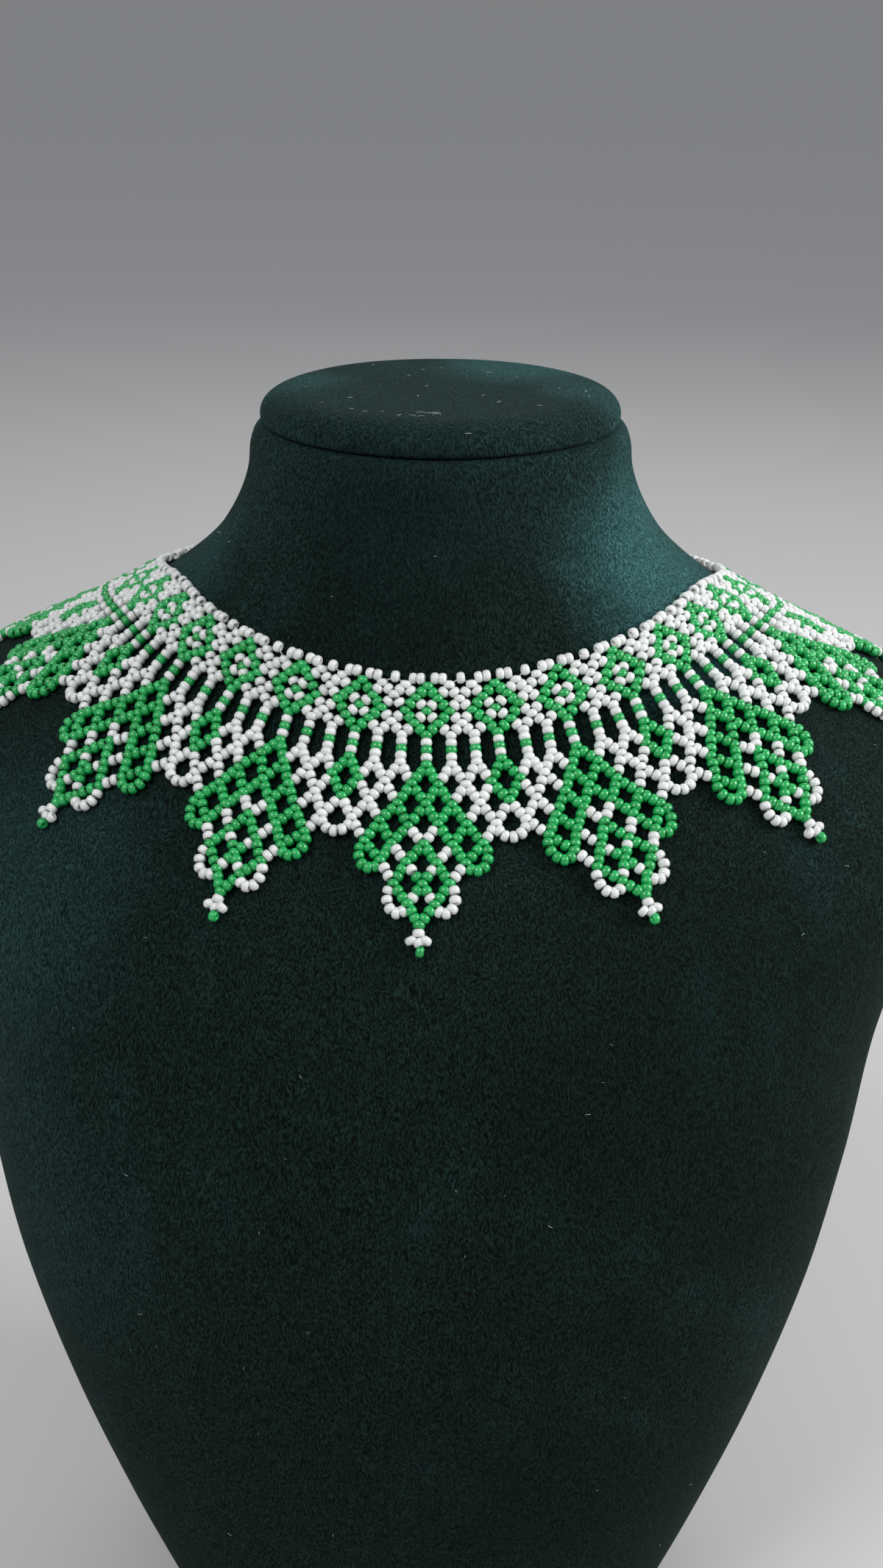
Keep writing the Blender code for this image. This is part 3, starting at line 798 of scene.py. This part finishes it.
def growMesh(name, source, tree, values):
    carrier = bpy.data.objects.new(name + "_carrier", source)
    scene.collection.objects.link(carrier)
    modifier = carrier.modifiers.new("grow", "NODES")
    modifier.node_group = tree
    for item in tree.interface.items_tree:
        if item.in_out == "INPUT" and item.name in values:
            modifier[item.identifier] = values[item.name]
    depsgraph = bpy.context.evaluated_depsgraph_get()
    grown = carrier.evaluated_get(depsgraph)
    mesh = bpy.data.meshes.new_from_object(grown, preserve_all_data_layers=True, depsgraph=depsgraph)
    carrier.modifiers.remove(modifier)
    bpy.data.objects.remove(carrier, do_unlink=True)
    mesh.name = name
    return mesh


beadTree, strandTree, fibreTree = seedBeadTree(), threadTree(), lintTree()
beadForm = {
    "Bead diameter": 0.00312, "Bead length": 0.00208, "Hole diameter": 0.0007,
    "Size spread": 0.035, "Sides": 10, "Wall sides": 8,
}
beadSeeds = dict(first=20, step=30)
tipNumbers = range(1, collarForm["peaks"] + 1)
frontTip = (collarForm["peaks"] + 1) // 2
beadSets = (
    ("beads_white_left", "W", -1, whiteGlass, "glass_white"),
    ("beads_white_right", "W", 1, whiteGlass, "glass_white"),
    ("beads_green_left", "G", -1, greenGlass, "glass_green"),
    ("beads_green_right", "G", 1, greenGlass, "glass_green"),
)
for number, (name, colour, side, finish, slot) in enumerate(beadSets):
    chosen = (beadColours == colour) & ((beadTable[:, 0] < 0) == (side < 0))
    points = bpy.data.meshes.new(name + "_points")
    points.from_pydata([tuple(place) for place in beadPlaces[chosen]], [], [])
    holes = points.attributes.new("holeAxis", "FLOAT_VECTOR", "POINT")
    holes.data.foreach_set("vector", beadHoles[chosen].ravel())
    seed = beadSeeds["first"] + beadSeeds["step"] * number
    mesh = growMesh(name, points, beadTree, {**beadForm, "Seed": seed, "Finish": finish})
    piece = newPiece(name, mesh, finish)
    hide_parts("collar_net")
    if colour == "G":
        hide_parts(*[f"tip_bead_{n:02d}" for n in tipNumbers if (n < frontTip) == (side < 0)])
    print(name, len(mesh.vertices), "points", len(mesh.polygons), "faces")


# The clasp and the thread that ties it on

claspForm = dict(
    diameter=0.0042, barrelShare=0.60, sides=36, lift=0.0031, tailRoom=0.22, play=0.0006,
    # radius and height from the barrel's end, then the same with the radius as a share of the barrel's
    endProfile=((0.0006, -0.0009), (0.0009, -0.0008), (0.0011, 0.0)),
    shoulder=((0.72, 0.0002), (0.96, 0.0009), (1.0, 0.0014)),
    grooves=9, grooveStart=0.0022, grooveStep=0.00045, grooveWidth=0.00022, grooveShare=0.93,
    seamWidth=0.0004, seamShare=0.88,
    ringDiameter=0.0026, wire=0.00035, ringSteps=28, wireSides=8,
)
claspLow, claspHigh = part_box("clasp")
claspMiddle = (claspLow + claspHigh) / 2
claspColumn = lastColumn + claspForm["tailRoom"] + tailForm["length"] / columnSpacing
claspEnds = onCollar(np.array([claspColumn, -claspColumn]), np.zeros(2), claspForm["lift"])
claspAlong = Vector(claspEnds[0] - claspEnds[1]).normalized()
claspLength = (Vector(claspEnds[0]) - Vector(claspEnds[1])).length - claspForm["play"]


def turnedRing(radius, height):
    angles = [2 * pi * i / claspForm["sides"] for i in range(claspForm["sides"])]
    return [(radius * cos(a), radius * sin(a), height) for a in angles]


def wireRing(bm, centre, radius):
    wire, steps, around = (claspForm[name] for name in ("wire", "ringSteps", "wireSides"))
    loops = []
    for i in range(steps):
        a = 2 * pi * i / steps
        out = Vector((0, sin(a), cos(a)))
        loop = []
        for j in range(around):
            b = 2 * pi * j / around
            place = centre + out * (radius + wire * cos(b)) + Vector((wire * sin(b), 0, 0))
            loop.append(bm.verts.new(place))
        loops.append(loop)
    for i in range(steps):
        near, far = loops[i], loops[(i + 1) % steps]
        for j in range(around):
            bm.faces.new((near[j], far[j], far[(j + 1) % around], near[(j + 1) % around]))


def claspMesh():
    form = claspForm
    body, half = form["diameter"] / 2, claspLength / 2
    end, ring = -half * form["barrelShare"], form["ringDiameter"] / 2
    profile = [(radius, end + height) for radius, height in form["endProfile"]]
    profile += [(body * share, end + height) for share, height in form["shoulder"]]
    for i in range(form["grooves"]):  # turned grooves on either half of the barrel
        z = end + form["grooveStart"] + i * form["grooveStep"]
        profile += [(body, z), (body * form["grooveShare"], z + form["grooveWidth"])]
    profile += [(body, -form["seamWidth"]), (body * form["seamShare"], 0.0)]
    whole = profile + [(radius, -z) for radius, z in reversed(profile[:-1])]
    bm = bmesh.new()
    ringed(bm, [turnedRing(radius, z) for radius, z in whole])
    for side in (-1, 1):  # wire ring at each end
        wireRing(bm, Vector((0, 0, side * (half - ring - form["wire"]))), ring)
    turn = claspAlong.to_track_quat("Z", "Y").to_matrix().to_4x4()
    bmesh.ops.transform(bm, verts=bm.verts, matrix=Matrix.Translation(claspMiddle) @ turn)
    return smoothMesh(bm, "screw_clasp")


clasp = newPiece("screw_clasp", claspMesh(), brass)
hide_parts("clasp")

threadForm = {"Thread diameter": 0.00040, "Sides": 4}
threadPoints = [tuple(place) for place in beadPlaces]
threadEdges = [(a, b) for strand in net.strands for a, b in zip(strand, strand[1:])]
for side, tail in zip((-1, 1), net.tails):
    hook = claspMiddle + claspAlong * (side * (claspLength / 2 - claspForm["wire"]))
    threadPoints.append(tuple(hook))
    threadEdges.append((tail, len(threadPoints) - 1))
strandMesh = bpy.data.meshes.new("thread_route")
strandMesh.from_pydata(threadPoints, threadEdges, [])
threadMesh = growMesh("net_thread", strandMesh, strandTree, {**threadForm, "Finish": nylon})
newPiece("net_thread", threadMesh, nylon)
print("clasp and thread made", len(threadMesh.polygons), "faces")


# Loose fibres on the suede

lintForm = {
    "Fibre diameter": 0.00009, "Bend": 0.8, "Rise": 0.25, "Shortest": 0.25, "Longest": 1.3,
    "Steps": 5, "Sides": 4,
}
# where the fibres gather on the cap
fluffForm = dict(left=-0.019, right=0.005, front=-0.0385, back=-0.0335)


def flatSquare(name, left, right, front, back, height):
    mesh = bpy.data.meshes.new(name)
    corners = ((left, front), (right, front), (right, back), (left, back))
    mesh.from_pydata([(x, y, height) for x, y in corners], [], [(0, 1, 2, 3)])
    return mesh


fluffPatch = flatSquare("fluff_patch", **fluffForm, height=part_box("neck_cap")[1].z)
# name, surface, fibres per square metre, length, seed
lintSources = (
    ("lint_on_bust", bust.data.copy(), 700.0, 0.0016, 5),
    ("lint_on_cap", cap.data.copy(), 3000.0, 0.0014, 9),
    ("lint_cluster", fluffPatch, 110000.0, 0.0026, 4),
)
for name, source, density, fibreLength, seed in lintSources:
    values = {
        **lintForm, "Fibres per square metre": density, "Fibre length": fibreLength,
        "Seed": seed, "Finish": lintFinish,
    }
    newPiece(name, growMesh(name, source, fibreTree, values), lintFinish)
print("lint made")


# Floor, light and camera

studio = dict(
    floor=(0.60, 0.595, 0.585, 1), floorRoughness=0.9, floorReach=40, floorDrop=0.0003,
    sky=(0.93, 0.95, 1.0, 1), skyStrength=0.36, aim=(0, 0, 0.24),
)
# place, size, power
lamps = dict(
    key=((-0.70, -0.95, 1.45), 0.9, 14.5),
    side=((1.10, -0.10, 0.75), 0.6, 13.0),
    back=((0.1, 1.2, 1.3), 1.0, 5.0),
)
view = dict(
    place=(0.06095, -0.55442, 0.46669), yaw=radians(-6.21), tilt=radians(22.64), roll=radians(0.24),
    lens=46.05, nearest=0.02,
)

reach = studio["floorReach"]
floorMesh = flatSquare("floor", -reach, reach, -reach, reach, 0)
floor = bpy.data.objects.new("floor", floorMesh)
floor.location.z = -studio["floorDrop"]
scene.collection.objects.link(floor)
floorFinish, floorGraph, floorShader = newFinish("floor_paper")
feed(floorGraph, floorShader, "Base Color", studio["floor"])
feed(floorGraph, floorShader, "Roughness", studio["floorRoughness"])
floorMesh.materials.append(floorFinish)

world = bpy.data.worlds.new("studio")
world.use_nodes = True
background = world.node_tree.nodes["Background"]
background.inputs["Color"].default_value = studio["sky"]
background.inputs["Strength"].default_value = studio["skyStrength"]
scene.world = world
scene.view_settings.view_transform = "Standard"
for name, (place, size, power) in lamps.items():
    lamp = bpy.data.lights.new(name, "AREA")
    lamp.size = size
    lamp.energy = power
    holder = bpy.data.objects.new(name, lamp)
    holder.location = place
    toward = Vector(studio["aim"]) - Vector(place)
    holder.rotation_euler = toward.to_track_quat("-Z", "Y").to_euler()
    scene.collection.objects.link(holder)

camera = bpy.data.objects.new("camera", bpy.data.cameras.new("camera"))
scene.collection.objects.link(camera)
scene.camera = camera
camera.data.lens = view["lens"]
camera.data.clip_start = view["nearest"]
yaw, tilt, roll = (view[name] for name in ("yaw", "tilt", "roll"))
forward = Vector((sin(yaw) * cos(tilt), cos(yaw) * cos(tilt), -sin(tilt)))
right = Vector((cos(yaw), -sin(yaw), 0))
up = right.cross(forward)
right, up = right * cos(roll) + up * sin(roll), up * cos(roll) - right * sin(roll)
turned = Matrix((right, up, -forward)).transposed().to_4x4()
camera.matrix_world = Matrix.Translation(view["place"]) @ turned
print("studio made")
